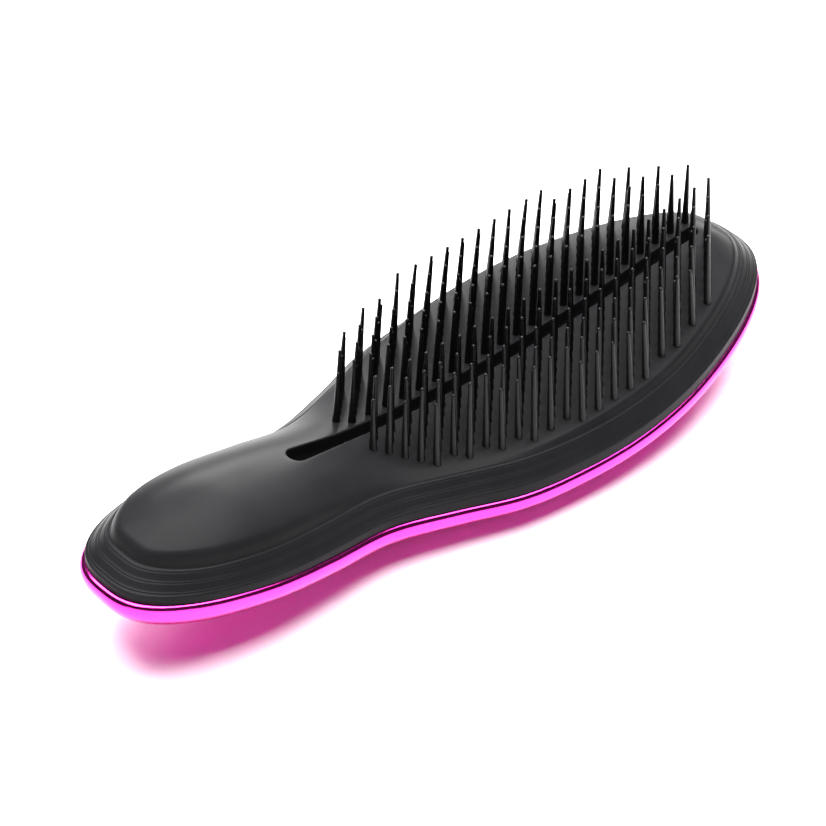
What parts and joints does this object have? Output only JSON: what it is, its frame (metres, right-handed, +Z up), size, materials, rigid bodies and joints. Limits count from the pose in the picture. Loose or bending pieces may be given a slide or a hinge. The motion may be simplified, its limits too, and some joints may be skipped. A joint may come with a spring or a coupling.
{
  "type": "detangling hairbrush",
  "caption": "Handled detangling brush: a rocker-shaped moulding with a stepped rim, a long slot and long and short flexible teeth, over a domed glossy back cover.",
  "frame": {"origin": "centre of the brush's outline, on the surface that its belly rests on", "axes": "+X along the brush from the handle to the tip of the head, +Z up along the teeth, +Y across the head"},
  "size_m": [0.216, 0.0728, 0.0488],
  "materials": {
    "front_plastic": "satin",
    "tooth_plastic": "satin",
    "plated_plastic": "mirror plated"
  },
  "bodies": {
    "root": {"front_moulding": "front_plastic", "near_tooth_bank": "tooth_plastic", "far_tooth_bank": "tooth_plastic", "back_cover": "plated_plastic"}
  },
  "joints": []
}
